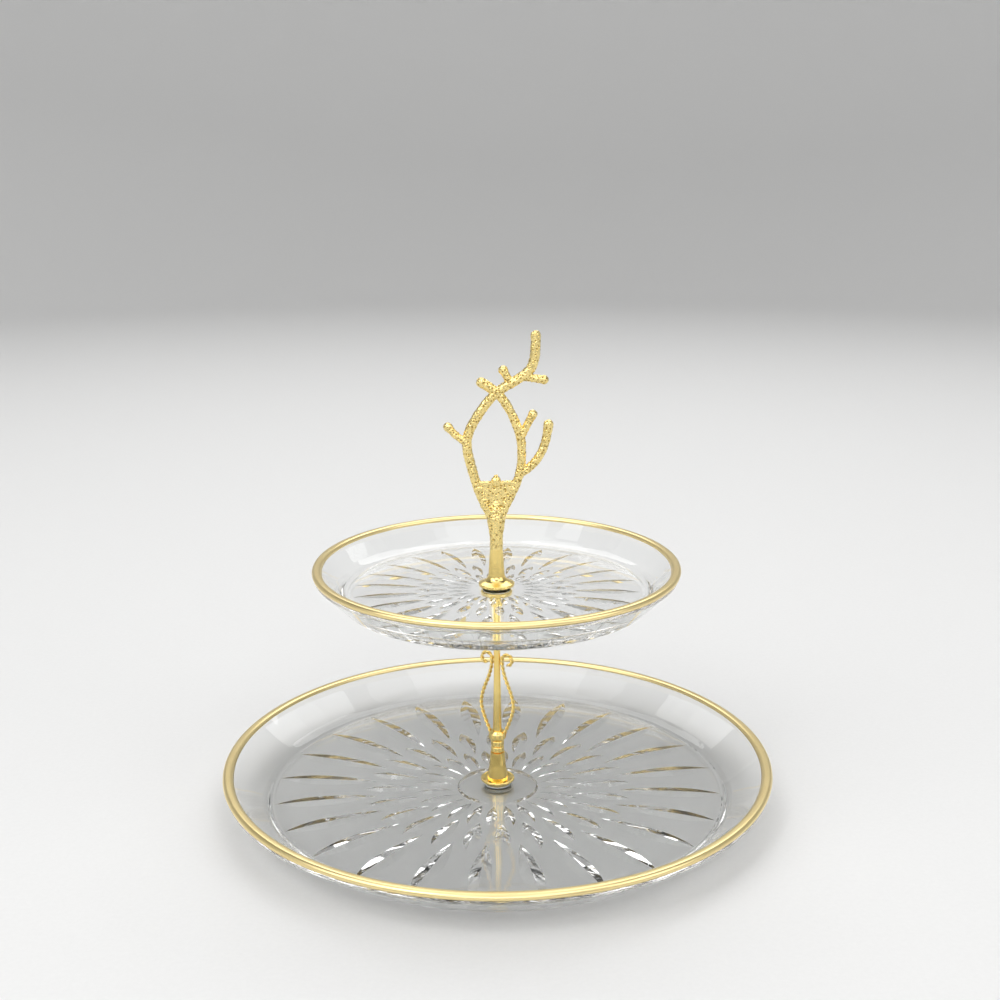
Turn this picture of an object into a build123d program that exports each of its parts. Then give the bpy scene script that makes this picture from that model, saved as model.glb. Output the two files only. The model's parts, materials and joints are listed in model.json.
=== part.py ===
"""Two-tier cut-glass cake stand: gilt rims, a lyre column and a handle shaped like branches.

Millimetres, +Z up, origin on the table under the middle of the lower plate. The front is -Y.
"""
import os
from math import asin, degrees, radians, tan

from build123d import *

# Lower plate
LOWER_RADIUS = 160.0
LOWER_HEIGHT = 24.2
LOWER_DEPTH = 18.2
LOWER_BASE_RADIUS = 134.0
LOWER_FLOOR_RADIUS = 135.0
LOWER_RIM_WIDTH = 4.0
LOWER_LIP_HEIGHT = 5.0

# Upper plate
UPPER_RADIUS = 104.4
UPPER_HEIGHT = 20.3
UPPER_DEPTH = 14.0
UPPER_BASE_RADIUS = 88.0
UPPER_FLOOR_RADIUS = 88.0
UPPER_RIM_WIDTH = 3.4
UPPER_LIP_HEIGHT = 4.2
UPPER_BASE_LEVEL = 123.0

# Both plates: corner rounds, the drilled hole and the gold band on the rim
BASE_ROUND = 5.0
WALL_ROUND = 4.0
FLOOR_ROUND = 12.0
RIM_ROUND_SHARE = 0.45
HOLE_RADIUS = 5.0
GILT_THICKNESS = 0.5
GILT_OUTSIDE = 2.7
GILT_INSIDE = 2.4
GILT_SECTORS = 24

# Screw well under the lower plate
WELL_RADIUS = 23.0
WELL_DRAFT = 1.0
WELL_DEPTH = 3.0

# Starburst of mitre cuts: radii of the tips, widths and depths, from the inner ring outwards
PETAL_COUNT = 24
PETAL_TURN = 10.0
PETAL_BELLY = 0.58
PETAL_MARGIN = 2.0
CUTTER_SKIRT = 1.25
LOWER_INNER_PETAL_END = 50.0
LOWER_MIDDLE_PETAL_START = 47.0
LOWER_MIDDLE_PETAL_END = 79.0
LOWER_OUTER_PETAL_START = 72.0
LOWER_PETAL_WIDTHS = (6.2, 8.8, 12.0)
LOWER_PETAL_DEPTH = 2.2
UPPER_INNER_PETAL_START = 15.0
UPPER_INNER_PETAL_END = 29.5
UPPER_MIDDLE_PETAL_START = 27.5
UPPER_MIDDLE_PETAL_END = 47.0
UPPER_OUTER_PETAL_START = 43.0
UPPER_OUTER_PETAL_END = 82.0
UPPER_PETAL_WIDTHS = (3.6, 5.2, 7.6)
UPPER_PETAL_DEPTH = 1.6

# Screw threads, drawn as plain cylinders at their outside diameter
THREAD_RADIUS = 2.5
HANDLE_THREAD_RADIUS = 2.0
HANDLE_THREAD_PITCH = 0.7
THREAD_CLEARANCE = 0.05
THREAD_RUNOUT = 1.0
HANDLE_TURNS = 8
STEM_ENGAGEMENT = 6.0

# Soft washers
WASHER_CLEARANCE = 0.3
GASKET_THICKNESS = 0.6
GASKET_RADIUS = 8.0
GASKET_COLLAR_SHORTFALL = 0.8

# Base screw and its steel washer
SCREW_HEAD_RADIUS = 7.0
SCREW_HEAD_HEIGHT = 1.4
SCREW_HEAD_ROUND = 0.5
SCREW_SLOT_WIDTH = 1.2
SCREW_SLOT_DEPTH = 0.7
BASE_WASHER_RADIUS = 9.0
BASE_WASHER_THICKNESS = 0.5

# Column foot, a cup with a raised lip
FOOT_RADIUS = 10.0
FOOT_HEIGHT = 3.4
FOOT_SOLE_RADIUS = 7.6
FOOT_FLOOR_THICKNESS = 1.8
FOOT_LIP_WIDTH = 1.1
FOOT_LIP_HEIGHT = 1.1
FOOT_ROUND = 0.5
FOOT_STEM_CLEARANCE = 1.0

# Column stem, neck ring and knob
STEM_BASE_RADIUS = 6.0
STEM_BASE_HEIGHT = 2.6
STEM_WAIST_RADIUS = 4.8
STEM_WAIST_RISE = 10.0
STEM_TOP_RADIUS = 4.2
STEM_HEIGHT = 18.0
STEM_ROUND = 12.0
NECK_BEADS = 2
NECK_BEAD_RADIUS = 3.9
NECK_BEAD_HEIGHT = 3.8
BEAD_ROUND_SHARE = 0.25
KNOB_RADIUS = 5.2
KNOB_END_RADIUS = 3.7
KNOB_HEIGHT = 6.0
KNOB_ROUND = 1.4
KNOB_SHOULDER = 1.6

# Central rod and the lyre wires beside it
ROD_RADIUS = 2.6
ROD_TOP_RADIUS = 1.9
WIRE_RADIUS = 1.25
WIRE_TURN = -25.0
WIRE_GAP = 0.05
WIRE_BULGE = 10.4
WIRE_BULGE_START = 14.0
WIRE_BULGE_END = 24.0
WIRE_MEETS_ROD = 41.0
SCROLL_RISE = 47.7
SCROLL_RADIUS = 3.3
SCROLL_SWEEP = 265.0

# Seat collar under the upper plate
SEAT_RADIUS = 9.0
SEAT_FLANGE = 2.4
SEAT_HUB_RADIUS = 4.4
SEAT_HUB_END_RADIUS = 3.3
SEAT_HUB_HEIGHT = 7.0
SEAT_ROUND = 0.6

# Handle base
HANDLE_FOOT_RADIUS = 10.3
HANDLE_FOOT_EDGE = 1.6
HANDLE_FLARE_RADIUS = 4.8
HANDLE_FLARE_RISE = 4.2
HANDLE_NECK_RADIUS = 3.7
HANDLE_BASE_HEIGHT = 21.8
HANDLE_FLARE_ROUND = 5.0
HANDLE_FOOT_ROUND = 0.5
SPIGOT_RADIUS = 2.0
SPIGOT_LENGTH = 6.5
SPIGOT_CLEARANCE = 0.05

# Branch casting: its trunk, its web and the routes of its branches, as X and the height above
# the handle base's sole
TRUNK_WAIST_RADIUS = 3.6
TRUNK_WAIST_RISE = 29.0
TRUNK_TOP_RADIUS = 5.3
TRUNK_TOP_RISE = 40.0
TRUNK_END_RADIUS = 3.0
TRUNK_END_RISE = 48.9
WEB_THICKNESS = 4.6
WEB_OUTLINE = [(-4.6, 41), (4.6, 41), (11, 61.9), (2.6, 62.4), (0, 65.6), (-2.6, 62.4), (-10, 61.4)]
ARC_SHARE = 0.45
TIP_SWELL = 0.3
LEFT_BRANCH = [(-1.2, 40), (-9.5, 56.4), (-17, 83.9), (-12.8, 95.5), (-0.6, 112.3)]
TOP_BRANCH = [(14.5, 120.4), (22.6, 128.4), (22.2, 143.8)]
LEFT_BRANCH_RADIUS = 2.7
RIGHT_BRANCH = [(1.2, 40), (9.6, 57.5), (14.9, 72.4), (14.2, 87.4), (8.1, 102.4), (0.6, 113.2), (-7.8, 117.8)]
RIGHT_BRANCH_RADIUS = 2.5
OUTER_BRANCH = [(12, 64.9), (20.8, 69.9), (28.4, 82.9), (29.4, 93.9)]
OUTER_BRANCH_RADIUS = 2.4
LEFT_TWIG = [(-15.5, 83.4), (-21.8, 86.9), (-26.6, 92.7)]
RIGHT_TWIG = [(14, 86.9), (20.7, 99.8)]
MIDDLE_STUB = [(8.5, 116.9), (4.3, 124.6)]
RIGHT_STUB = [(15.5, 120.9), (26.8, 119.3)]
TWIG_RADIUS = 2.3

# Levels worked out from the sizes above
LOWER_FLOOR = LOWER_HEIGHT - LOWER_DEPTH
UPPER_FLOOR_THICKNESS = UPPER_HEIGHT - UPPER_DEPTH
UPPER_FLOOR = UPPER_BASE_LEVEL + UPPER_FLOOR_THICKNESS
THREAD_BORE = THREAD_RADIUS + THREAD_CLEARANCE
HANDLE_THREAD_BORE = HANDLE_THREAD_RADIUS + THREAD_CLEARANCE
WASHER_BORE = THREAD_RADIUS + WASHER_CLEARANCE
FOOT_LEVEL = LOWER_FLOOR + GASKET_THICKNESS
STEM_LEVEL = FOOT_LEVEL + FOOT_FLOOR_THICKNESS
NECK_LEVEL = STEM_LEVEL + STEM_HEIGHT
KNOB_LEVEL = NECK_LEVEL + NECK_BEADS * NECK_BEAD_HEIGHT
WIRE_LEVEL = KNOB_LEVEL + KNOB_HEIGHT / 2
SEAT_LEVEL = UPPER_BASE_LEVEL - GASKET_THICKNESS
HUB_LEVEL = SEAT_LEVEL - SEAT_FLANGE - SEAT_HUB_HEIGHT
HANDLE_LEVEL = UPPER_FLOOR + GASKET_THICKNESS
HANDLE_ENGAGEMENT = HANDLE_TURNS * HANDLE_THREAD_PITCH
BASE_WASHER_TOP = WELL_DEPTH - GASKET_THICKNESS
SCREW_HEAD_TOP = BASE_WASHER_TOP - BASE_WASHER_THICKNESS

STANDING = (Align.CENTER, Align.CENTER, Align.MIN)


def turned(points, rounds):
    """A solid of revolution about Z from (radius, height) corners, each with its own round."""
    return revolve(Plane.XZ * make_face(FilletPolyline(*points, radius=rounds, close=True)), Axis.Z)


def rod(radius, bottom, top):
    return Pos(Z=bottom) * Cylinder(radius, top - bottom, align=STANDING)


def ring(outer, inner, bottom, top):
    return rod(outer, bottom, top) - rod(inner, bottom, top)


def plate_section(radius, height, depth, base_radius, floor_radius, rim_width, lip_height):
    """Half section of a plate, as a face of (radius, height) with the base at height 0."""
    floor = height - depth
    rim_round = RIM_ROUND_SHARE * rim_width
    corners = [
        (HOLE_RADIUS, 0),
        (base_radius, 0),
        (radius, height - lip_height),
        (radius, height),
        (radius - rim_width, height),
        (floor_radius, floor),
        (HOLE_RADIUS, floor),
    ]
    rounds = [0, BASE_ROUND, WALL_ROUND, rim_round, rim_round, FLOOR_ROUND, 0]
    return make_face(FilletPolyline(*corners, radius=rounds, close=True))


def gilt_section(radius, height, depth, floor_radius, rim_width):
    """Thin skin over the rim of a plate: down its outside, over the top and down the inner wall."""
    rim_round = RIM_ROUND_SHARE * rim_width
    skin_round = rim_round + GILT_THICKNESS
    inner_edge = Vector(radius - rim_width, height)
    wall = (Vector(floor_radius, height - depth) - inner_edge).normalized()
    wall_end = inner_edge + wall * GILT_INSIDE
    mitre = GILT_THICKNESS * tan(radians(wall.get_angle(Vector(-1, 0))) / 2)
    corners = [
        (radius, height - GILT_OUTSIDE),
        (radius + GILT_THICKNESS, height - GILT_OUTSIDE),
        (radius + GILT_THICKNESS, height + GILT_THICKNESS),
        (radius - rim_width - mitre, height + GILT_THICKNESS),
        wall_end + Vector(wall.Y, -wall.X) * GILT_THICKNESS,
        wall_end,
        inner_edge,
        (radius, height),
    ]
    rounds = [0, 0, skin_round, skin_round, 0, 0, rim_round, rim_round]
    return make_face(FilletPolyline(*corners, radius=rounds, close=True))


def gilt_ring(section):
    """The band as equal sectors joined into one solid, because a thin whole ring meshes unevenly.

    The two smallest faces of a sector are its ends, which the joined band doesn't have.
    """
    arc = 360 / GILT_SECTORS
    sector = revolve(Plane.XZ * section, Axis.Z, arc)
    skin = sector.faces().sort_by(SortBy.AREA)[2:]
    return Solid(Shell([Rot(Z=count * arc) * face for count in range(GILT_SECTORS) for face in skin]))


def petal_half(length, width, depth, direction):
    """Part of a V-edged wheel that runs out to a point after the given length along +X or -X."""
    wheel = (length**2 + depth**2) / (2 * depth)
    skirt = CUTTER_SKIRT * width / 2
    below = depth * (1 - CUTTER_SKIRT)
    edge = Plane.YZ * make_face(Polyline((0, depth), (skirt, below), (-skirt, below), close=True))
    arc = degrees(asin(length / wheel))
    return revolve(edge, Axis((0, 0, depth - wheel), (0, direction, 0)), arc)


def petal_cutters(starts, ends, widths, depth):
    """Cutters for every petal: rings of mitre cuts, each ring set between those of the last."""
    step = 360 / PETAL_COUNT
    cutters = []
    for ring_number, (start, end, width) in enumerate(zip(starts, ends, widths)):
        inner_length = PETAL_BELLY * (end - start)
        outer_length = end - start - inner_length
        petal = petal_half(inner_length, width, depth, -1) + petal_half(outer_length, width, depth, 1)
        first = PETAL_TURN + ring_number % 2 * step / 2
        for count in range(PETAL_COUNT):
            cutters.append(Rot(Z=first + count * step) * Pos(X=start + inner_length) * petal)
    return cutters


def lower_tier():
    section = plate_section(
        LOWER_RADIUS,
        LOWER_HEIGHT,
        LOWER_DEPTH,
        LOWER_BASE_RADIUS,
        LOWER_FLOOR_RADIUS,
        LOWER_RIM_WIDTH,
        LOWER_LIP_HEIGHT,
    )
    band = gilt_section(LOWER_RADIUS, LOWER_HEIGHT, LOWER_DEPTH, LOWER_FLOOR_RADIUS, LOWER_RIM_WIDTH)
    starts = (WELL_RADIUS + WELL_DRAFT + PETAL_MARGIN, LOWER_MIDDLE_PETAL_START, LOWER_OUTER_PETAL_START)
    ends = (LOWER_INNER_PETAL_END, LOWER_MIDDLE_PETAL_END, LOWER_BASE_RADIUS - PETAL_MARGIN)
    well = Cone(WELL_RADIUS + WELL_DRAFT, WELL_RADIUS, WELL_DEPTH, align=STANDING)
    glass = revolve(Plane.XZ * section, Axis.Z) - well
    glass -= petal_cutters(starts, ends, LOWER_PETAL_WIDTHS, LOWER_PETAL_DEPTH)
    return {"lower_plate": glass, "lower_gilt_rim": gilt_ring(band)}


def upper_tier():
    section = plate_section(
        UPPER_RADIUS,
        UPPER_HEIGHT,
        UPPER_DEPTH,
        UPPER_BASE_RADIUS,
        UPPER_FLOOR_RADIUS,
        UPPER_RIM_WIDTH,
        UPPER_LIP_HEIGHT,
    )
    band = gilt_section(UPPER_RADIUS, UPPER_HEIGHT, UPPER_DEPTH, UPPER_FLOOR_RADIUS, UPPER_RIM_WIDTH)
    starts = (UPPER_INNER_PETAL_START, UPPER_MIDDLE_PETAL_START, UPPER_OUTER_PETAL_START)
    ends = (UPPER_INNER_PETAL_END, UPPER_MIDDLE_PETAL_END, UPPER_OUTER_PETAL_END)
    glass = revolve(Plane.XZ * section, Axis.Z)
    glass -= petal_cutters(starts, ends, UPPER_PETAL_WIDTHS, UPPER_PETAL_DEPTH)
    raised = Pos(Z=UPPER_BASE_LEVEL)
    return {"upper_plate": raised * glass, "upper_gilt_rim": raised * gilt_ring(band)}


def collared_gasket(bottom, glass_thickness):
    """Soft washer with a collar that centres the glass on the thread."""
    top = bottom + GASKET_THICKNESS
    collar_top = top + glass_thickness - GASKET_COLLAR_SHORTFALL
    collar = ring(HOLE_RADIUS - WASHER_CLEARANCE, WASHER_BORE, bottom, collar_top)
    return ring(GASKET_RADIUS, WASHER_BORE, bottom, top) + collar


def soft_washers():
    return {
        "base_gasket": collared_gasket(BASE_WASHER_TOP, LOWER_FLOOR - WELL_DEPTH),
        "foot_gasket": ring(GASKET_RADIUS, WASHER_BORE, LOWER_FLOOR, FOOT_LEVEL),
        "seat_gasket": collared_gasket(SEAT_LEVEL, UPPER_FLOOR_THICKNESS),
        "handle_gasket": ring(GASKET_RADIUS, WASHER_BORE, UPPER_FLOOR, HANDLE_LEVEL),
    }


def base_fixing():
    head_bottom = SCREW_HEAD_TOP - SCREW_HEAD_HEIGHT
    corners = [
        (0, head_bottom),
        (SCREW_HEAD_RADIUS, head_bottom),
        (SCREW_HEAD_RADIUS, SCREW_HEAD_TOP),
        (0, SCREW_HEAD_TOP),
    ]
    head = turned(corners, [0, SCREW_HEAD_ROUND, 0, 0])
    slot_length = 2 * SCREW_HEAD_RADIUS
    slot = Pos(Z=head_bottom) * Box(slot_length, SCREW_SLOT_WIDTH, SCREW_SLOT_DEPTH, align=STANDING)
    shank = rod(THREAD_RADIUS, SCREW_HEAD_TOP, STEM_LEVEL + STEM_ENGAGEMENT)
    washer = ring(BASE_WASHER_RADIUS, WASHER_BORE, SCREW_HEAD_TOP, BASE_WASHER_TOP)
    return {"base_screw": head + shank - slot, "base_washer": washer}


def column_foot():
    lip_inside = FOOT_RADIUS - FOOT_LIP_WIDTH
    corners = [
        (WASHER_BORE, 0),
        (FOOT_SOLE_RADIUS, 0),
        (FOOT_RADIUS, FOOT_HEIGHT - FOOT_LIP_HEIGHT),
        (FOOT_RADIUS, FOOT_HEIGHT),
        (lip_inside, FOOT_HEIGHT),
        (STEM_BASE_RADIUS + FOOT_STEM_CLEARANCE, FOOT_FLOOR_THICKNESS),
        (WASHER_BORE, FOOT_FLOOR_THICKNESS),
    ]
    rounds = [0, FOOT_ROUND, FOOT_ROUND, FOOT_ROUND, FOOT_ROUND, FOOT_ROUND, 0]
    return {"column_foot": Pos(Z=FOOT_LEVEL) * turned(corners, rounds)}


def column_stem():
    corners = [
        (0, 0),
        (STEM_BASE_RADIUS, 0),
        (STEM_BASE_RADIUS, STEM_BASE_HEIGHT),
        (STEM_WAIST_RADIUS, STEM_WAIST_RISE),
        (STEM_TOP_RADIUS, STEM_HEIGHT),
        (0, STEM_HEIGHT),
    ]
    stem = turned(corners, [0, FOOT_ROUND, FOOT_ROUND, STEM_ROUND, 0, 0])
    hole_depth = STEM_ENGAGEMENT + THREAD_RUNOUT
    stem -= rod(THREAD_BORE, 0, hole_depth)
    stem -= rod(THREAD_BORE, STEM_HEIGHT - hole_depth, STEM_HEIGHT)
    return {"column_stem": Pos(Z=STEM_LEVEL) * stem}


def neck_ring():
    bore = ROD_RADIUS + THREAD_CLEARANCE
    bead_round = BEAD_ROUND_SHARE * NECK_BEAD_HEIGHT
    corners = [
        (bore, 0),
        (NECK_BEAD_RADIUS, 0),
        (NECK_BEAD_RADIUS, NECK_BEAD_HEIGHT),
        (bore, NECK_BEAD_HEIGHT),
    ]
    bead = turned(corners, [0, bead_round, bead_round, 0])
    collar = bead
    for count in range(1, NECK_BEADS):
        collar += Pos(Z=count * NECK_BEAD_HEIGHT) * bead
    return {"neck_ring": Pos(Z=NECK_LEVEL) * collar}


def arc_radii(points):
    """The largest round for each corner of a route that leaves its neighbours room."""
    radii = []
    for before, here, after in zip(points, points[1:], points[2:]):
        run_in = Vector(here) - Vector(before)
        run_out = Vector(after) - Vector(here)
        turn = radians(run_in.get_angle(run_out))
        radii.append(ARC_SHARE * min(run_in.length, run_out.length) / tan(turn / 2))
    return radii


def route(points):
    if len(points) == 2:
        return Line(*points)
    return FilletPolyline(*points, radius=arc_radii(points))


def tube(path, radius):
    standing_path = Plane.XZ * path
    start = Plane(origin=standing_path @ 0, z_dir=standing_path % 0)
    return sweep(start * Circle(radius), path=standing_path)


def lyre_wire():
    """One wire in the XZ plane, on the +X side: root, bulge, run along the rod, scroll."""
    beside_root = ROD_RADIUS + WIRE_RADIUS + WIRE_GAP
    beside_rod = ROD_TOP_RADIUS + WIRE_RADIUS + WIRE_GAP
    run_top = (beside_rod, WIRE_LEVEL + SCROLL_RISE)
    run = route(
        [
            (beside_root, WIRE_LEVEL),
            (WIRE_BULGE, WIRE_LEVEL + WIRE_BULGE_START),
            (WIRE_BULGE, WIRE_LEVEL + WIRE_BULGE_END),
            (beside_rod, WIRE_LEVEL + WIRE_MEETS_ROD),
            run_top,
        ]
    )
    return tube(run + JernArc(run_top, (0, 1), SCROLL_RADIUS, -SCROLL_SWEEP), WIRE_RADIUS)


def knob_and_wires():
    bore = ROD_RADIUS + THREAD_CLEARANCE
    wire = lyre_wire()
    right = Rot(Z=WIRE_TURN) * wire
    left = Rot(Z=WIRE_TURN + 180) * wire
    corners = [
        (bore, 0),
        (KNOB_END_RADIUS, 0),
        (KNOB_RADIUS, KNOB_SHOULDER),
        (KNOB_RADIUS, KNOB_HEIGHT - KNOB_SHOULDER),
        (KNOB_END_RADIUS, KNOB_HEIGHT),
        (bore, KNOB_HEIGHT),
    ]
    knob = Pos(Z=KNOB_LEVEL) * turned(corners, [0, 0, KNOB_ROUND, KNOB_ROUND, 0, 0])
    return {"column_knob": knob - [left, right], "lyre_wire_left": left, "lyre_wire_right": right}


def column_rod():
    knob_top = KNOB_LEVEL + KNOB_HEIGHT
    end = HANDLE_LEVEL + HANDLE_ENGAGEMENT
    corners = [
        (0, NECK_LEVEL - STEM_ENGAGEMENT),
        (THREAD_RADIUS, NECK_LEVEL - STEM_ENGAGEMENT),
        (THREAD_RADIUS, NECK_LEVEL),
        (ROD_RADIUS, NECK_LEVEL),
        (ROD_RADIUS, knob_top),
        (ROD_TOP_RADIUS, WIRE_LEVEL + WIRE_MEETS_ROD),
        (ROD_TOP_RADIUS, HUB_LEVEL),
        (HANDLE_THREAD_RADIUS, HUB_LEVEL),
        (HANDLE_THREAD_RADIUS, end),
        (0, end),
    ]
    return {"column_rod": turned(corners, [0] * len(corners))}


def seat_collar():
    flange_bottom = SEAT_LEVEL - SEAT_FLANGE
    corners = [
        (HANDLE_THREAD_BORE, HUB_LEVEL),
        (SEAT_HUB_END_RADIUS, HUB_LEVEL),
        (SEAT_HUB_RADIUS, flange_bottom),
        (SEAT_RADIUS, flange_bottom),
        (SEAT_RADIUS, SEAT_LEVEL),
        (HANDLE_THREAD_BORE, SEAT_LEVEL),
    ]
    return {"seat_collar": turned(corners, [0, 0, SEAT_ROUND, SEAT_ROUND, SEAT_ROUND, 0])}


def handle_base():
    corners = [
        (0, 0),
        (HANDLE_FOOT_RADIUS, 0),
        (HANDLE_FOOT_RADIUS, HANDLE_FOOT_EDGE),
        (HANDLE_FLARE_RADIUS, HANDLE_FLARE_RISE),
        (HANDLE_NECK_RADIUS, HANDLE_BASE_HEIGHT),
        (0, HANDLE_BASE_HEIGHT),
    ]
    base = turned(corners, [0, HANDLE_FOOT_ROUND, HANDLE_FOOT_ROUND, HANDLE_FLARE_ROUND, 0, 0])
    base -= rod(HANDLE_THREAD_BORE, 0, HANDLE_ENGAGEMENT + THREAD_RUNOUT)
    socket_radius = SPIGOT_RADIUS + SPIGOT_CLEARANCE
    base -= rod(socket_radius, HANDLE_BASE_HEIGHT - SPIGOT_LENGTH - SPIGOT_CLEARANCE, HANDLE_BASE_HEIGHT)
    return {"handle_base": Pos(Z=HANDLE_LEVEL) * base}


def branch(points, radius):
    """A branch along its route, with a slightly swollen round tip."""
    tip_x, tip_z = points[-1]
    return tube(route(points), radius) + Pos(tip_x, 0, tip_z) * Sphere(radius + TIP_SWELL)


def branch_handle():
    trunk = turned(
        [
            (0, HANDLE_BASE_HEIGHT),
            (HANDLE_NECK_RADIUS, HANDLE_BASE_HEIGHT),
            (TRUNK_WAIST_RADIUS, TRUNK_WAIST_RISE),
            (TRUNK_TOP_RADIUS, TRUNK_TOP_RISE),
            (TRUNK_END_RADIUS, TRUNK_END_RISE),
            (0, TRUNK_END_RISE),
        ],
        [0, 0, HANDLE_FLARE_ROUND, HANDLE_FOOT_ROUND, HANDLE_FOOT_ROUND, 0],
    )
    spigot = rod(SPIGOT_RADIUS, HANDLE_BASE_HEIGHT - SPIGOT_LENGTH, HANDLE_BASE_HEIGHT)
    web = extrude(Plane.XZ * make_face(Polyline(*WEB_OUTLINE, close=True)), WEB_THICKNESS / 2, both=True)
    casting = trunk + [
        spigot,
        web,
        branch(LEFT_BRANCH + TOP_BRANCH, LEFT_BRANCH_RADIUS),
        branch(RIGHT_BRANCH, RIGHT_BRANCH_RADIUS),
        branch(OUTER_BRANCH, OUTER_BRANCH_RADIUS),
        branch(LEFT_TWIG, TWIG_RADIUS),
        branch(RIGHT_TWIG, TWIG_RADIUS),
        branch(MIDDLE_STUB, TWIG_RADIUS),
        branch(RIGHT_STUB, TWIG_RADIUS),
    ]
    return {"branch_handle": Pos(Z=HANDLE_LEVEL) * casting}


def main():
    os.makedirs("parts", exist_ok=True)
    makers = (
        lower_tier,
        base_fixing,
        soft_washers,
        column_foot,
        column_stem,
        neck_ring,
        knob_and_wires,
        column_rod,
        seat_collar,
        upper_tier,
        handle_base,
        branch_handle,
    )
    for make in makers:
        for name, piece in make().items():
            export_step(piece, f"parts/{name}.step")


main()
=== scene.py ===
"""Looks of the two-tier cut-glass cake stand: materials, handle, wires, gold bands and studio."""
import json
from math import cos, pi, radians, sin, tan

import bmesh
import bpy
from mathutils import Matrix, Vector, noise


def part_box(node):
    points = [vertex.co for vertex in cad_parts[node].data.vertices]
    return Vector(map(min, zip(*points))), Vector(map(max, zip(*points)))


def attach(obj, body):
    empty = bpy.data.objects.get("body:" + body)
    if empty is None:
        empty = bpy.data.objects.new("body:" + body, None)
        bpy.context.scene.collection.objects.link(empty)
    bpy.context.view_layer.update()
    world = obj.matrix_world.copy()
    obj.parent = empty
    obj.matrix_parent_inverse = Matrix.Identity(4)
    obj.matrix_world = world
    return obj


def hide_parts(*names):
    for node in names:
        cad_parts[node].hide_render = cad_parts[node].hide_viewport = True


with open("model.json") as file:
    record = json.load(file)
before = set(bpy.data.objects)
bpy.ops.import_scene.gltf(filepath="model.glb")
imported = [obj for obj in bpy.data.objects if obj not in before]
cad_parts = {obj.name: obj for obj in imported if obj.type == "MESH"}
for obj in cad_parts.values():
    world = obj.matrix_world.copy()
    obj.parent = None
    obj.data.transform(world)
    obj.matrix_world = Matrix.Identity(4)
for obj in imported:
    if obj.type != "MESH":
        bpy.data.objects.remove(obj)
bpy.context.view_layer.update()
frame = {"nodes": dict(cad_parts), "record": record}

MM = 0.001

# The photo's camera, solved from its two rim circles, in metres and degrees, with its lens in millimetres
CAMERA_PLACE = (0.0022, -0.7722, 0.3843)
CAMERA_PITCH = 14.79
CAMERA_ROLL = -0.284
CAMERA_LENS = 50.87
CAMERA_SENSOR = 36.0
CAMERA_NEAR = 0.01

# The round studio, in metres; its paper lies just under the glass, so that light passes between the two
FLOOR_LEVEL = -0.0004
FLOOR_RINGS = (0.0, 0.6, 1.4, 2.4)
WALL_BEND = 1.0
WALL_BEND_STEP = 6
WALL_TOP = 3.4
STUDIO_SIDES = 96
STUDIO_WELD = 0.0001
AIR_COLOUR = (0.1, 0.1, 0.102)

# Area lights: name, place, aim, width and height in metres, and watts
STAND_MIDDLE = (0, 0, 0.12)
LIGHTS = (
    ("key_light", (-1.75, -1.1, 1.95), STAND_MIDDLE, 1.9, 2.1, 24.0),
    ("fill_light", (1.7, -0.9, 1.45), STAND_MIDDLE, 1.4, 1.7, 11.0),
    ("back_light", (0.15, 1.4, 1.75), STAND_MIDDLE, 2.5, 1.0, 17.0),
    ("top_light", (0, 0.15, 2.3), (0, 0.15, 0), 1.8, 2.7, 16.0),
    ("front_panel", (0, -2.3, 1.55), STAND_MIDDLE, 1.7, 1.2, 14.0),
    ("left_strip", (-0.85, -1.2, 1.8), STAND_MIDDLE, 0.4, 0.9, 4.6),
    ("right_strip", (0.75, -1.3, 1.8), STAND_MIDDLE, 0.35, 0.9, 3.6),
)

# Light is led along inside the cut glass, so it needs many turns
GLASS_BOUNCES = 24
GLOSS_BOUNCES = 16

# Colours
GOLD_BRIGHT = (0.97, 0.78, 0.33)
GOLD_DEEP = (0.88, 0.65, 0.2)
# Darker gold for painted shade in the bark's pits
GOLD_PAINTED_PIT_SHADE = (0.4, 0.25, 0.05)
FIRED_BRIGHT = (0.97, 0.8, 0.42)
FIRED_DEEP = (0.95, 0.76, 0.36)
GLASS_TINT = (0.99, 0.996, 0.992)
ZINC_DARK = (0.5, 0.52, 0.55)
ZINC_PALE = (0.72, 0.73, 0.74)
WASHER_DARK = (0.74, 0.75, 0.73)
WASHER_PALE = (0.86, 0.87, 0.85)
PAPER_DARK = (0.76, 0.76, 0.755)
PAPER_PALE = (0.8, 0.8, 0.795)

# Levels taken from the frame, in millimetres
base_low, base_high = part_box("handle_base")
knob_low, knob_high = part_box("column_knob")
HANDLE_LEVEL = base_low.z / MM
HANDLE_BASE_HEIGHT = (base_high.z - base_low.z) / MM
WIRE_LEVEL = (knob_low.z + knob_high.z) / 2 / MM

# The handle and both wires are drawn in the XZ plane, and this is the way across it
DEPTH = Vector((0, 1, 0))

# Twisted wires, in millimetres and degrees; the route is a distance from the axis and a height
WIRE_TURN = -25.0
WIRE_ROUTE = [(3.9, 0.0), (10.4, 14.0), (10.4, 24.0), (3.2, 41.0), (3.2, 47.7)]
WIRE_STEP = 0.25
WIRE_STRANDS = 2
WIRE_LAY = 6.0
STRAND_OFFSET = 0.56
STRAND_RADIUS = 0.62
STRAND_SIDES = 12
SCROLL_RADIUS = 3.3
SCROLL_END_RADIUS = 2.9
SCROLL_SWEEP = 265.0
SCROLL_STEPS = 70

# Fired gold bands, in millimetres, and the rims that carry them: width, and the inner wall's run and drop
RIMS = {"lower": (4.0, 21.0, 18.2), "upper": (3.4, 13.0, 14.0)}
RIM_ROUND_SHARE = 0.45
RIM_ROUND_STEPS = 8
BAND_THICKNESS = 0.5
BAND_EDGE = 0.12
BAND_BITE = 0.03
BAND_OUTSIDE = 2.7
BAND_INSIDE = 2.4
BAND_WAVER = 0.12
WAVERS_PER_RADIUS = 9
BAND_STEPS = 288

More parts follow.
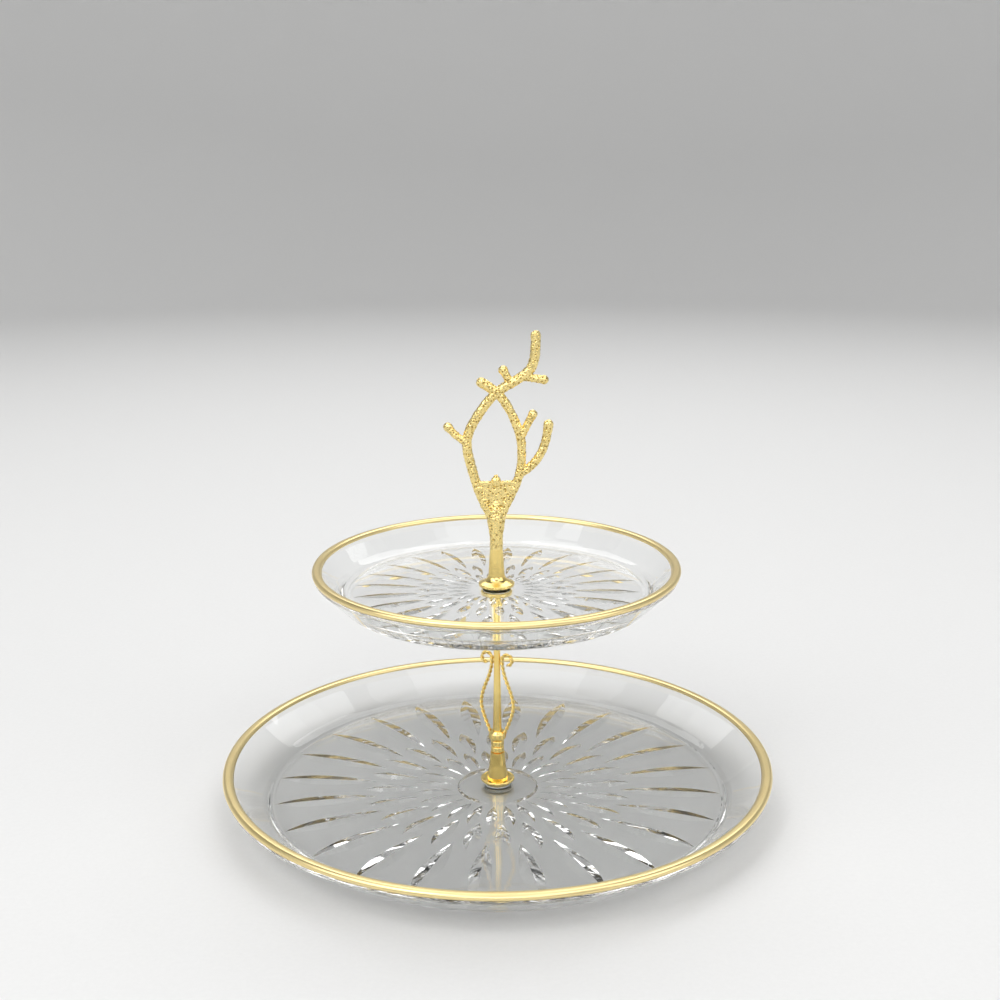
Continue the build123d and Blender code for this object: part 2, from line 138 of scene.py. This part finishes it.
# Branch routes, as X and the height above the handle base's sole, in millimetres
LEFT_BRANCH = [
    (-1.8, 39.0),
    (-6.6, 48.5),
    (-10.2, 57.0),
    (-13.4, 68.0),
    (-17.2, 83.9),
    (-12.8, 95.5),
    (-0.6, 112.3),
]
TOP_BRANCH = [(14.5, 120.4), (22.6, 128.4), (22.2, 143.8)]
RIGHT_BRANCH = [
    (1.8, 39.0),
    (6.0, 48.5),
    (10.2, 57.0),
    (13.6, 66.0),
    (14.7, 76.0),
    (14.2, 87.4),
    (8.1, 102.4),
    (0.6, 113.2),
    (-7.8, 117.8),
]
OUTER_BRANCH = [(13.6, 65.8), (20.8, 69.9), (28.4, 82.9), (29.4, 93.9)]
LEFT_TWIG = [(-16.9, 84.2), (-21.8, 86.9), (-26.6, 92.7)]
RIGHT_TWIG = [(14.0, 86.9), (17.3, 93.3), (20.7, 99.8)]
MIDDLE_STUB = [(8.5, 116.9), (6.4, 120.7), (4.3, 124.6)]
RIGHT_STUB = [(15.5, 120.9), (21.2, 120.1), (26.8, 119.3)]
BUD = [(0.0, 59.6), (0.0, 61.5), (0.0, 63.8)]

# Each branch's route, radius and radius at its tip
BRANCHES = (
    (LEFT_BRANCH + TOP_BRANCH, 2.65, 2.75),
    (RIGHT_BRANCH, 2.45, 2.9),
    (OUTER_BRANCH, 2.35, 2.8),
    (LEFT_TWIG, 2.1, 2.7),
    (RIGHT_TWIG, 2.2, 2.55),
    (MIDDLE_STUB, 2.2, 2.65),
    (RIGHT_STUB, 2.2, 2.6),
    (BUD, 2.7, 1.5),
)

# How finely a branch is drawn, where along it the tip starts, and how large and close its knobs are
BRANCH_STEP = 0.35
BRANCH_SIDES = 16
END_STEPS = 5
TIP_START = 0.72
KNOB_SHARE = 0.07
KNOBS_PER_STEP = 0.11

# The fork's web, and the trunk's heights above the sole with its radii; it starts inside the handle base
WEB_OUTLINE = [(-4.6, 41.0), (4.6, 41.0), (11.0, 61.9), (0.0, 61.2), (-10.0, 61.4)]
WEB_THICKNESS = 2.8
TRUNK = [(20.6, 3.55), (21.8, 3.7), (29.0, 3.6), (39.5, 5.2), (46.0, 3.4), (51.0, 1.2)]
TRUNK_STEP = 0.4
TRUNK_SIDES = 32

# Bark, in millimetres: the skin that joins the branches, its pits, its furrows and its grain
SKIN_VOXEL = 0.32
MELT_FACTOR = 0.5
MELT_ROUNDS = 6
BARK_FADE = 3.0
BARK_LIFT = 0.1
PITS_PER_MM = 0.62
PIT_EDGE = 0.4
PIT_SLOPE = 0.16
PIT_DEPTH = 0.42
FURROWS_PER_MM = Vector((0.8, 0.8, 0.3))
FURROW_HEIGHT = 0.2
GRAINS_PER_MM = 1.2
GRAIN_HEIGHT = 0.26


def clamp(value):
    return max(0.0, min(1.0, value))


def smooth_route(points, step):
    """Points along the quadratic spline that rounds a route's corners."""
    knots = [Vector(point) for point in points]
    line = [knots[0]]
    last = len(knots) - 2
    for number in range(1, len(knots) - 1):
        start = line[-1]
        end = knots[-1] if number == last else (knots[number] + knots[number + 1]) / 2
        corner = knots[number]
        count = max(3, round(((corner - start).length + (end - corner).length) / step))
        for index in range(1, count + 1):
            t = index / count
            line.append(start * (1 - t) ** 2 + corner * 2 * t * (1 - t) + end * t**2)
    return line


def direction(line, index):
    """The way a line runs at one of its points."""
    return (line[min(index + 1, len(line) - 1)] - line[max(index - 1, 0)]).normalized()


def add_tube(mesh, line, radii, sides):
    """A closed tube along points, with a radius at each."""
    angles = [2 * pi * side / sides for side in range(sides)]
    rings = []
    for index, (point, radius) in enumerate(zip(line, radii)):
        along = direction(line, index)
        across = along.cross(DEPTH).normalized()
        up = along.cross(across)
        rings.append([mesh.verts.new(point + (across * cos(a) + up * sin(a)) * radius) for a in angles])
    for lower, upper in zip(rings, rings[1:]):
        for side in range(sides):
            after = (side + 1) % sides
            mesh.faces.new((lower[side], lower[after], upper[after], upper[side]))
    mesh.faces.new(reversed(rings[0]))
    mesh.faces.new(rings[-1])


def round_ends(line, radius):
    """The line with its ends lengthened, and the radius's share as it closes over both ends."""
    turns = [radians(90 * (index + 0.5) / END_STEPS) for index in range(END_STEPS)]
    first = (line[0] - line[1]).normalized()
    final = (line[-1] - line[-2]).normalized()
    start = [line[0] + first * radius * cos(turn) for turn in turns]
    end = [line[-1] + final * radius * cos(turn) for turn in reversed(turns)]
    shares = [sin(turn) for turn in turns]
    return start + line + end, shares + [1.0] * len(line) + shares[::-1]


def branch_tube(mesh, route, radius, tip_radius, seed):
    """One branch in the XZ plane: knobbly along its length and swollen or pointed at its tip."""
    line = [Vector((point.x, 0, point.y)) for point in smooth_route(route, BRANCH_STEP)]
    count = len(line)
    long_line, shares = round_ends(line, tip_radius)
    radii = []
    for index, share in enumerate(shares):
        place = clamp((index - END_STEPS) / (count - 1))
        tip = max(0.0, (place - TIP_START) / (1 - TIP_START)) ** 2
        knob = noise.noise(Vector((place * count * KNOBS_PER_STEP, seed, 0)))
        radii.append((radius + (tip_radius - radius) * tip) * (1 + KNOB_SHARE * knob) * share)
    add_tube(mesh, long_line, radii, BRANCH_SIDES)


def trunk_tube(mesh):
    """The trunk that grows out of the smooth handle base and widens into the fork."""
    line, radii = [], []
    for (low, low_radius), (high, high_radius) in zip(TRUNK, TRUNK[1:]):
        count = max(2, round((high - low) / TRUNK_STEP))
        for index in range(count):
            share = index / count
            line.append(Vector((0, 0, low + (high - low) * share)))
            radii.append(low_radius + (high_radius - low_radius) * share)
    add_tube(mesh, line, radii, TRUNK_SIDES)


def add_web(mesh):
    """The flat filling between the two branches of the fork, sunk below them."""
    front, back = (
        [mesh.verts.new((x, side * WEB_THICKNESS / 2, z)) for x, z in WEB_OUTLINE] for side in (-1, 1)
    )
    mesh.faces.new(front)
    mesh.faces.new(reversed(back))
    for index, corner in enumerate(front):
        mesh.faces.new((front[index - 1], back[index - 1], back[index], corner))


def bark_fade(place):
    """The bark's strength at a place above the sole: none on the handle base, and then growing."""
    return clamp((place.z - HANDLE_BASE_HEIGHT) / BARK_FADE)


def bark_pit(place):
    """How deep in one of the bark's pits a place is, from 0 to 1."""
    nearest = noise.voronoi(place * PITS_PER_MM)[0][0]
    return bark_fade(place) * clamp((PIT_EDGE - nearest) / PIT_SLOPE)


def bark_relief(place):
    """How far the cast bark stands out at a place."""
    furrow = FURROW_HEIGHT * noise.noise(place * FURROWS_PER_MM)
    grain = GRAIN_HEIGHT * noise.noise(place * GRAINS_PER_MM)
    return bark_fade(place) * (BARK_LIFT + furrow + grain) - PIT_DEPTH * bark_pit(place)


def shade_smooth(data):
    data.polygons.foreach_set("use_smooth", [True] * len(data.polygons))


def finish_mesh(name, mesh):
    """A smooth-shaded object with a mesh's geometry."""
    data = bpy.data.meshes.new(name)
    mesh.to_mesh(data)
    mesh.free()
    shade_smooth(data)
    piece = bpy.data.objects.new(name, data)
    bpy.context.scene.collection.objects.link(piece)
    return piece


def melt_together(piece):
    """Joins a piece's overlapping parts into one skin with softened creases."""
    rough = piece.data
    skin = piece.modifiers.new("skin", "REMESH")
    skin.mode = "VOXEL"
    skin.voxel_size = SKIN_VOXEL
    melt = piece.modifiers.new("melt", "SMOOTH")
    melt.factor = MELT_FACTOR
    melt.iterations = MELT_ROUNDS
    shown = piece.evaluated_get(bpy.context.evaluated_depsgraph_get())
    piece.data = bpy.data.meshes.new_from_object(shown)
    piece.modifiers.clear()
    bpy.data.meshes.remove(rough)


def build_handle():
    """The branch casting, with the depth of its bark's pits kept for the painted shade in the pits."""
    mesh = bmesh.new()
    trunk_tube(mesh)
    for number, (route, radius, tip_radius) in enumerate(BRANCHES, start=1):
        branch_tube(mesh, route, radius, tip_radius, number)
    add_web(mesh)
    piece = finish_mesh("bark_handle", mesh)
    melt_together(piece)
    data = piece.data
    pit_shade_depths = [bark_pit(vertex.co) for vertex in data.vertices]
    moved = [vertex.co + vertex.normal * bark_relief(vertex.co) for vertex in data.vertices]
    for vertex, place in zip(data.vertices, moved):
        vertex.co = (place + Vector((0, 0, HANDLE_LEVEL))) * MM
    # The pits' depth, kept so that the bark material can paint shade into them
    data.attributes.new("pit_shade", "FLOAT", "POINT").data.foreach_set("value", pit_shade_depths)
    shade_smooth(data)
    return piece


def wire_line():
    """One wire in the XZ plane on the +X side: bulge, run along the rod, outward scroll."""
    line = smooth_route(WIRE_ROUTE, WIRE_STEP)
    top = line[-1]
    for index in range(1, SCROLL_STEPS + 1):
        share = index / SCROLL_STEPS
        turn = radians(SCROLL_SWEEP * share)
        radius = SCROLL_RADIUS + (SCROLL_END_RADIUS - SCROLL_RADIUS) * share**2
        line.append(top + Vector((SCROLL_RADIUS - radius * cos(turn), radius * sin(turn))))
    return [Vector((point.x, 0, point.y + WIRE_LEVEL)) for point in line]


def build_wire(name, turn):
    """Strands twisted round each other along the wire's line."""
    line = wire_line()
    travelled = [0.0]
    for before, here in zip(line, line[1:]):
        travelled.append(travelled[-1] + (here - before).length)
    mesh = bmesh.new()
    for number in range(WIRE_STRANDS):
        strand = []
        for index, point in enumerate(line):
            across = direction(line, index).cross(DEPTH)
            angle = 2 * pi * (number / WIRE_STRANDS + travelled[index] / WIRE_LAY)
            strand.append(point + (across * cos(angle) + DEPTH * sin(angle)) * STRAND_OFFSET)
        long_line, shares = round_ends(strand, STRAND_RADIUS)
        add_tube(mesh, long_line, [STRAND_RADIUS * share for share in shares], STRAND_SIDES)
    bmesh.ops.transform(mesh, matrix=Matrix.Rotation(radians(turn), 4, "Z"), verts=mesh.verts)
    bmesh.ops.scale(mesh, vec=(MM, MM, MM), verts=mesh.verts)
    return finish_mesh(name, mesh)


def band_section(rim, outside, inside):
    """Places on the glass of a rim, each with the way it faces: up the outside, over, down the inside."""
    radius, top, width, wall_run, wall_drop = rim
    bend = RIM_ROUND_SHARE * width
    wall = Vector((-wall_run, -wall_drop)).normalized()
    facing = Vector((wall.y, -wall.x))
    turn = wall.angle(Vector((-1, 0)))
    inner_edge = Vector((radius - width, top))
    outer_centre = Vector((radius - bend, top - bend))
    inner_centre = inner_edge + Vector((bend * tan(turn / 2), -bend))
    section = [(Vector((radius, top - outside)), Vector((1, 0)))]
    for centre, start, sweep in ((outer_centre, 0.0, pi / 2), (inner_centre, pi / 2, turn)):
        for step in range(RIM_ROUND_STEPS + 1):
            angle = start + sweep * step / RIM_ROUND_STEPS
            normal = Vector((cos(angle), sin(angle)))
            section.append((centre + normal * bend, normal))
    section.append((inner_edge + wall * inside, facing))
    return section


def build_band(name, node, rim_shape):
    """A gold band fired onto a rim, thin at its hand-drawn edges, where the node's band is."""
    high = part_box(node)[1] / MM
    rim = (high.x - BAND_THICKNESS, high.z - BAND_THICKNESS, *rim_shape)
    mesh = bmesh.new()
    rings = []
    for step in range(BAND_STEPS):
        angle = 2 * pi * step / BAND_STEPS
        around = Vector((cos(angle), sin(angle), 0))
        outside, inside = (
            reach + BAND_WAVER * noise.noise(around * WAVERS_PER_RADIUS + Vector((0, 0, reach)))
            for reach in (BAND_OUTSIDE, BAND_INSIDE)
        )
        section = band_section(rim, outside, inside)
        last = len(section) - 1
        skin = [
            place + normal * (BAND_EDGE if index in (0, last) else BAND_THICKNESS)
            for index, (place, normal) in enumerate(section)
        ]
        skin += [place - normal * BAND_BITE for place, normal in reversed(section)]
        rings.append([mesh.verts.new((around * point.x + Vector((0, 0, point.y))) * MM) for point in skin])
    for here, after in zip(rings, rings[1:] + rings[:1]):
        for index in range(len(here)):
            mesh.faces.new((here[index - 1], here[index], after[index], after[index - 1]))
    bmesh.ops.recalc_face_normals(mesh, faces=mesh.faces)
    return finish_mesh(name, mesh)


def node_material(name):
    material = bpy.data.materials.new(name)
    material.use_nodes = True
    tree = material.node_tree
    return material, tree, tree.nodes["Principled BSDF"]


def add_node(tree, kind, **values):
    """A node with its properties and unlinked inputs set by name."""
    node = tree.nodes.new(kind)
    for key, value in values.items():
        if key in node.inputs:
            node.inputs[key].default_value = value
        else:
            setattr(node, key, value)
    return node


def object_noise(tree, scale, detail, stretch=(1, 1, 1)):
    place = add_node(tree, "ShaderNodeTexCoord")
    fit = add_node(tree, "ShaderNodeMapping", Scale=stretch)
    grain = add_node(tree, "ShaderNodeTexNoise", Scale=scale, Detail=detail)
    tree.links.new(place.outputs["Object"], fit.inputs["Vector"])
    tree.links.new(fit.outputs["Vector"], grain.inputs["Vector"])
    return grain.outputs["Fac"]


def vary_colour(tree, shader, factor, first, second):
    """Mixes the base colour from the first to the second by a factor."""
    mix = add_node(tree, "ShaderNodeMix", data_type="RGBA")
    mix.inputs["A"].default_value = (*first, 1)
    mix.inputs["B"].default_value = (*second, 1)
    tree.links.new(factor, mix.inputs["Factor"])
    tree.links.new(mix.outputs["Result"], shader.inputs["Base Color"])


def vary_roughness(tree, shader, factor, low, high):
    """Maps a 0 to 1 factor to the roughness from low to high."""
    spread = add_node(tree, "ShaderNodeMapRange")
    spread.inputs["To Min"].default_value = low
    spread.inputs["To Max"].default_value = high
    tree.links.new(factor, spread.inputs["Value"])
    tree.links.new(spread.outputs["Result"], shader.inputs["Roughness"])


def add_bump(tree, shader, height, strength, distance):
    bump = add_node(tree, "ShaderNodeBump", Strength=strength, Distance=distance)
    tree.links.new(height, bump.inputs["Height"])
    tree.links.new(bump.outputs["Normal"], shader.inputs["Normal"])


def gold_material(name, grain_scale, roughness, bump, stretch=(1, 1, 1), bright=GOLD_BRIGHT, deep=GOLD_DEEP):
    """Gold with a clouded colour, and its gloss and surface varied by one grain.

    The roughness is its lowest and highest value, and the bump is its strength and distance.
    """
    material, tree, shader = node_material(name)
    grain = object_noise(tree, grain_scale, detail=4.0, stretch=stretch)
    cloud = object_noise(tree, scale=60.0, detail=2.0)
    vary_colour(tree, shader, cloud, deep, bright)
    shader.inputs["Metallic"].default_value = 1.0
    vary_roughness(tree, shader, grain, *roughness)
    add_bump(tree, shader, grain, *bump)
    return material


def fired_gold_material():
    return gold_material(
        "fired_gold_look",
        grain_scale=45.0,
        roughness=(0.27, 0.33),
        bump=(0.01, 0.0002),
        bright=FIRED_BRIGHT,
        deep=FIRED_DEEP,
    )


def gold_plate_material():
    """Turned gold, with its grain drawn out round the piece."""
    return gold_material(
        "gold_plate_look",
        grain_scale=420.0,
        roughness=(0.1, 0.2),
        bump=(0.05, 0.0001),
        stretch=(0.05, 0.05, 1),
    )


def handle_base_material():
    """Cast gold, rougher than the turned pieces, with its grain drawn out upwards."""
    return gold_material(
        "handle_base_look",
        grain_scale=900.0,
        roughness=(0.12, 0.26),
        bump=(0.35, 0.0003),
        stretch=(1, 1, 0.35),
    )


def twisted_gold_material():
    return gold_material("twisted_gold_look", grain_scale=900.0, roughness=(0.14, 0.28), bump=(0.15, 0.0001))


def bark_material():
    """Gold on the bark's ridges, with painted shade darkening it deep in its pits."""
    material, tree, shader = node_material("bark_gold_look")
    pit_shade = add_node(tree, "ShaderNodeAttribute", attribute_name="pit_shade").outputs["Fac"]
    grain = object_noise(tree, scale=1400.0, detail=3.0)
    # Painted shade: the gold turns darker the deeper a place lies in a pit
    vary_colour(tree, shader, pit_shade, GOLD_BRIGHT, GOLD_PAINTED_PIT_SHADE)
    shader.inputs["Metallic"].default_value = 1.0
    vary_roughness(tree, shader, grain, low=0.12, high=0.34)
    add_bump(tree, shader, grain, strength=0.2, distance=0.0002)
    return material


def glass_material():
    """Clear glass with faint ripples and smears."""
    material, tree, shader = node_material("clear_glass_look")
    ripple = object_noise(tree, scale=22.0, detail=2.0)
    smear = object_noise(tree, scale=140.0, detail=4.0)
    shader.inputs["Base Color"].default_value = (*GLASS_TINT, 1)
    shader.inputs["Transmission Weight"].default_value = 1.0
    shader.inputs["IOR"].default_value = 1.5
    vary_roughness(tree, shader, smear, low=0.0, high=0.03)
    add_bump(tree, shader, ripple, strength=0.08, distance=0.002)
    return material


def steel_material():
    material, tree, shader = node_material("zinc_steel_look")
    grain = object_noise(tree, scale=900.0, detail=3.0, stretch=(1, 1, 0.1))
    vary_colour(tree, shader, grain, ZINC_DARK, ZINC_PALE)
    shader.inputs["Metallic"].default_value = 1.0
    vary_roughness(tree, shader, grain, low=0.25, high=0.45)
    add_bump(tree, shader, grain, strength=0.2, distance=0.0001)
    return material


def washer_material():
    material, tree, shader = node_material("soft_washer_look")
    grain = object_noise(tree, scale=700.0, detail=3.0)
    vary_colour(tree, shader, grain, WASHER_DARK, WASHER_PALE)
    shader.inputs["Subsurface Weight"].default_value = 0.2
    vary_roughness(tree, shader, grain, low=0.45, high=0.65)
    add_bump(tree, shader, grain, strength=0.15, distance=0.0002)
    return material


def paper_material():
    material, tree, shader = node_material("studio_paper")
    grain = object_noise(tree, scale=400.0, detail=4.0)
    vary_colour(tree, shader, grain, PAPER_DARK, PAPER_PALE)
    shader.inputs["Roughness"].default_value = 0.9
    shader.inputs["Specular IOR Level"].default_value = 0.15
    return material


def dress(piece, material):
    piece.data.materials.clear()
    piece.data.materials.append(material)


def stand_for(piece, node, body, material):
    """Dresses a piece and puts it in the place of a CAD node."""
    dress(piece, material)
    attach(piece, body)
    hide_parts(node)


def build_studio():
    """A round pale studio: a floor that curves up into a wall on every side."""
    floor_radius = FLOOR_RINGS[-1]
    bends = [radians(angle) for angle in range(WALL_BEND_STEP, 91, WALL_BEND_STEP)]
    profile = [(radius, 0.0) for radius in FLOOR_RINGS]
    profile += [(floor_radius + WALL_BEND * sin(bend), WALL_BEND * (1 - cos(bend))) for bend in bends]
    profile.append((floor_radius + WALL_BEND, WALL_TOP))
    mesh = bmesh.new()
    corners = [mesh.verts.new((radius, 0, FLOOR_LEVEL + height)) for radius, height in profile]
    for lower, upper in zip(corners, corners[1:]):
        mesh.edges.new((lower, upper))
    outline = mesh.verts[:] + mesh.edges[:]
    bmesh.ops.spin(mesh, geom=outline, cent=(0, 0, 0), axis=(0, 0, 1), angle=2 * pi, steps=STUDIO_SIDES)
    bmesh.ops.remove_doubles(mesh, verts=mesh.verts, dist=STUDIO_WELD)
    bmesh.ops.recalc_face_normals(mesh, faces=mesh.faces)
    studio = finish_mesh("studio_room", mesh)
    dress(studio, paper_material())


def add_light(name, place, aim, width, height, watts):
    lamp = bpy.data.lights.new(name, "AREA")
    lamp.shape = "RECTANGLE"
    lamp.size = width
    lamp.size_y = height
    lamp.energy = watts
    holder = bpy.data.objects.new(name, lamp)
    holder.location = place
    holder.rotation_euler = (Vector(aim) - Vector(place)).to_track_quat("-Z", "Y").to_euler()
    holder.visible_camera = False
    bpy.context.scene.collection.objects.link(holder)


def build_light():
    for light in LIGHTS:
        add_light(*light)
    world = bpy.data.worlds.new("studio_air")
    world.use_nodes = True
    world.node_tree.nodes["Background"].inputs["Color"].default_value = (*AIR_COLOUR, 1)
    scene = bpy.context.scene
    scene.world = world
    scene.cycles.max_bounces = GLASS_BOUNCES
    scene.cycles.glossy_bounces = GLOSS_BOUNCES
    scene.cycles.transmission_bounces = GLASS_BOUNCES
    scene.view_settings.view_transform = "Standard"


def build_camera():
    lens = bpy.data.cameras.new("photo_camera")
    lens.sensor_width = CAMERA_SENSOR
    lens.lens = CAMERA_LENS
    lens.clip_start = CAMERA_NEAR
    camera = bpy.data.objects.new("photo_camera", lens)
    pitch = Matrix.Rotation(radians(90 - CAMERA_PITCH), 4, "X")
    roll = Matrix.Rotation(radians(CAMERA_ROLL), 4, "Z")
    camera.matrix_world = Matrix.Translation(CAMERA_PLACE) @ pitch @ roll
    bpy.context.scene.collection.objects.link(camera)
    bpy.context.scene.camera = camera


def main():
    looks = {
        "clear_glass": glass_material(),
        "fired_gold": fired_gold_material(),
        "gold_plate": gold_plate_material(),
        "bark_gold": bark_material(),
        "twisted_gold": twisted_gold_material(),
        "zinc_steel": steel_material(),
        "soft_washer": washer_material(),
    }
    nodes = frame["nodes"]
    for part in frame["record"]["subparts"]:
        dress(nodes[part["node"]], looks[part["material_slot"]])
    dress(nodes["handle_base"], handle_base_material())
    stand_for(build_handle(), "branch_handle", "handle", looks["bark_gold"])
    for side, turn in (("right", WIRE_TURN), ("left", WIRE_TURN + 180)):
        wire = build_wire(f"twisted_wire_{side}", turn)
        stand_for(wire, f"lyre_wire_{side}", "column", looks["twisted_gold"])
    for tier, rim_shape in RIMS.items():
        node = f"{tier}_gilt_rim"
        band = build_band(f"fired_band_{tier}", node, rim_shape)
        stand_for(band, node, f"{tier}_tier", looks["fired_gold"])
    build_studio()
    build_light()
    build_camera()


main()
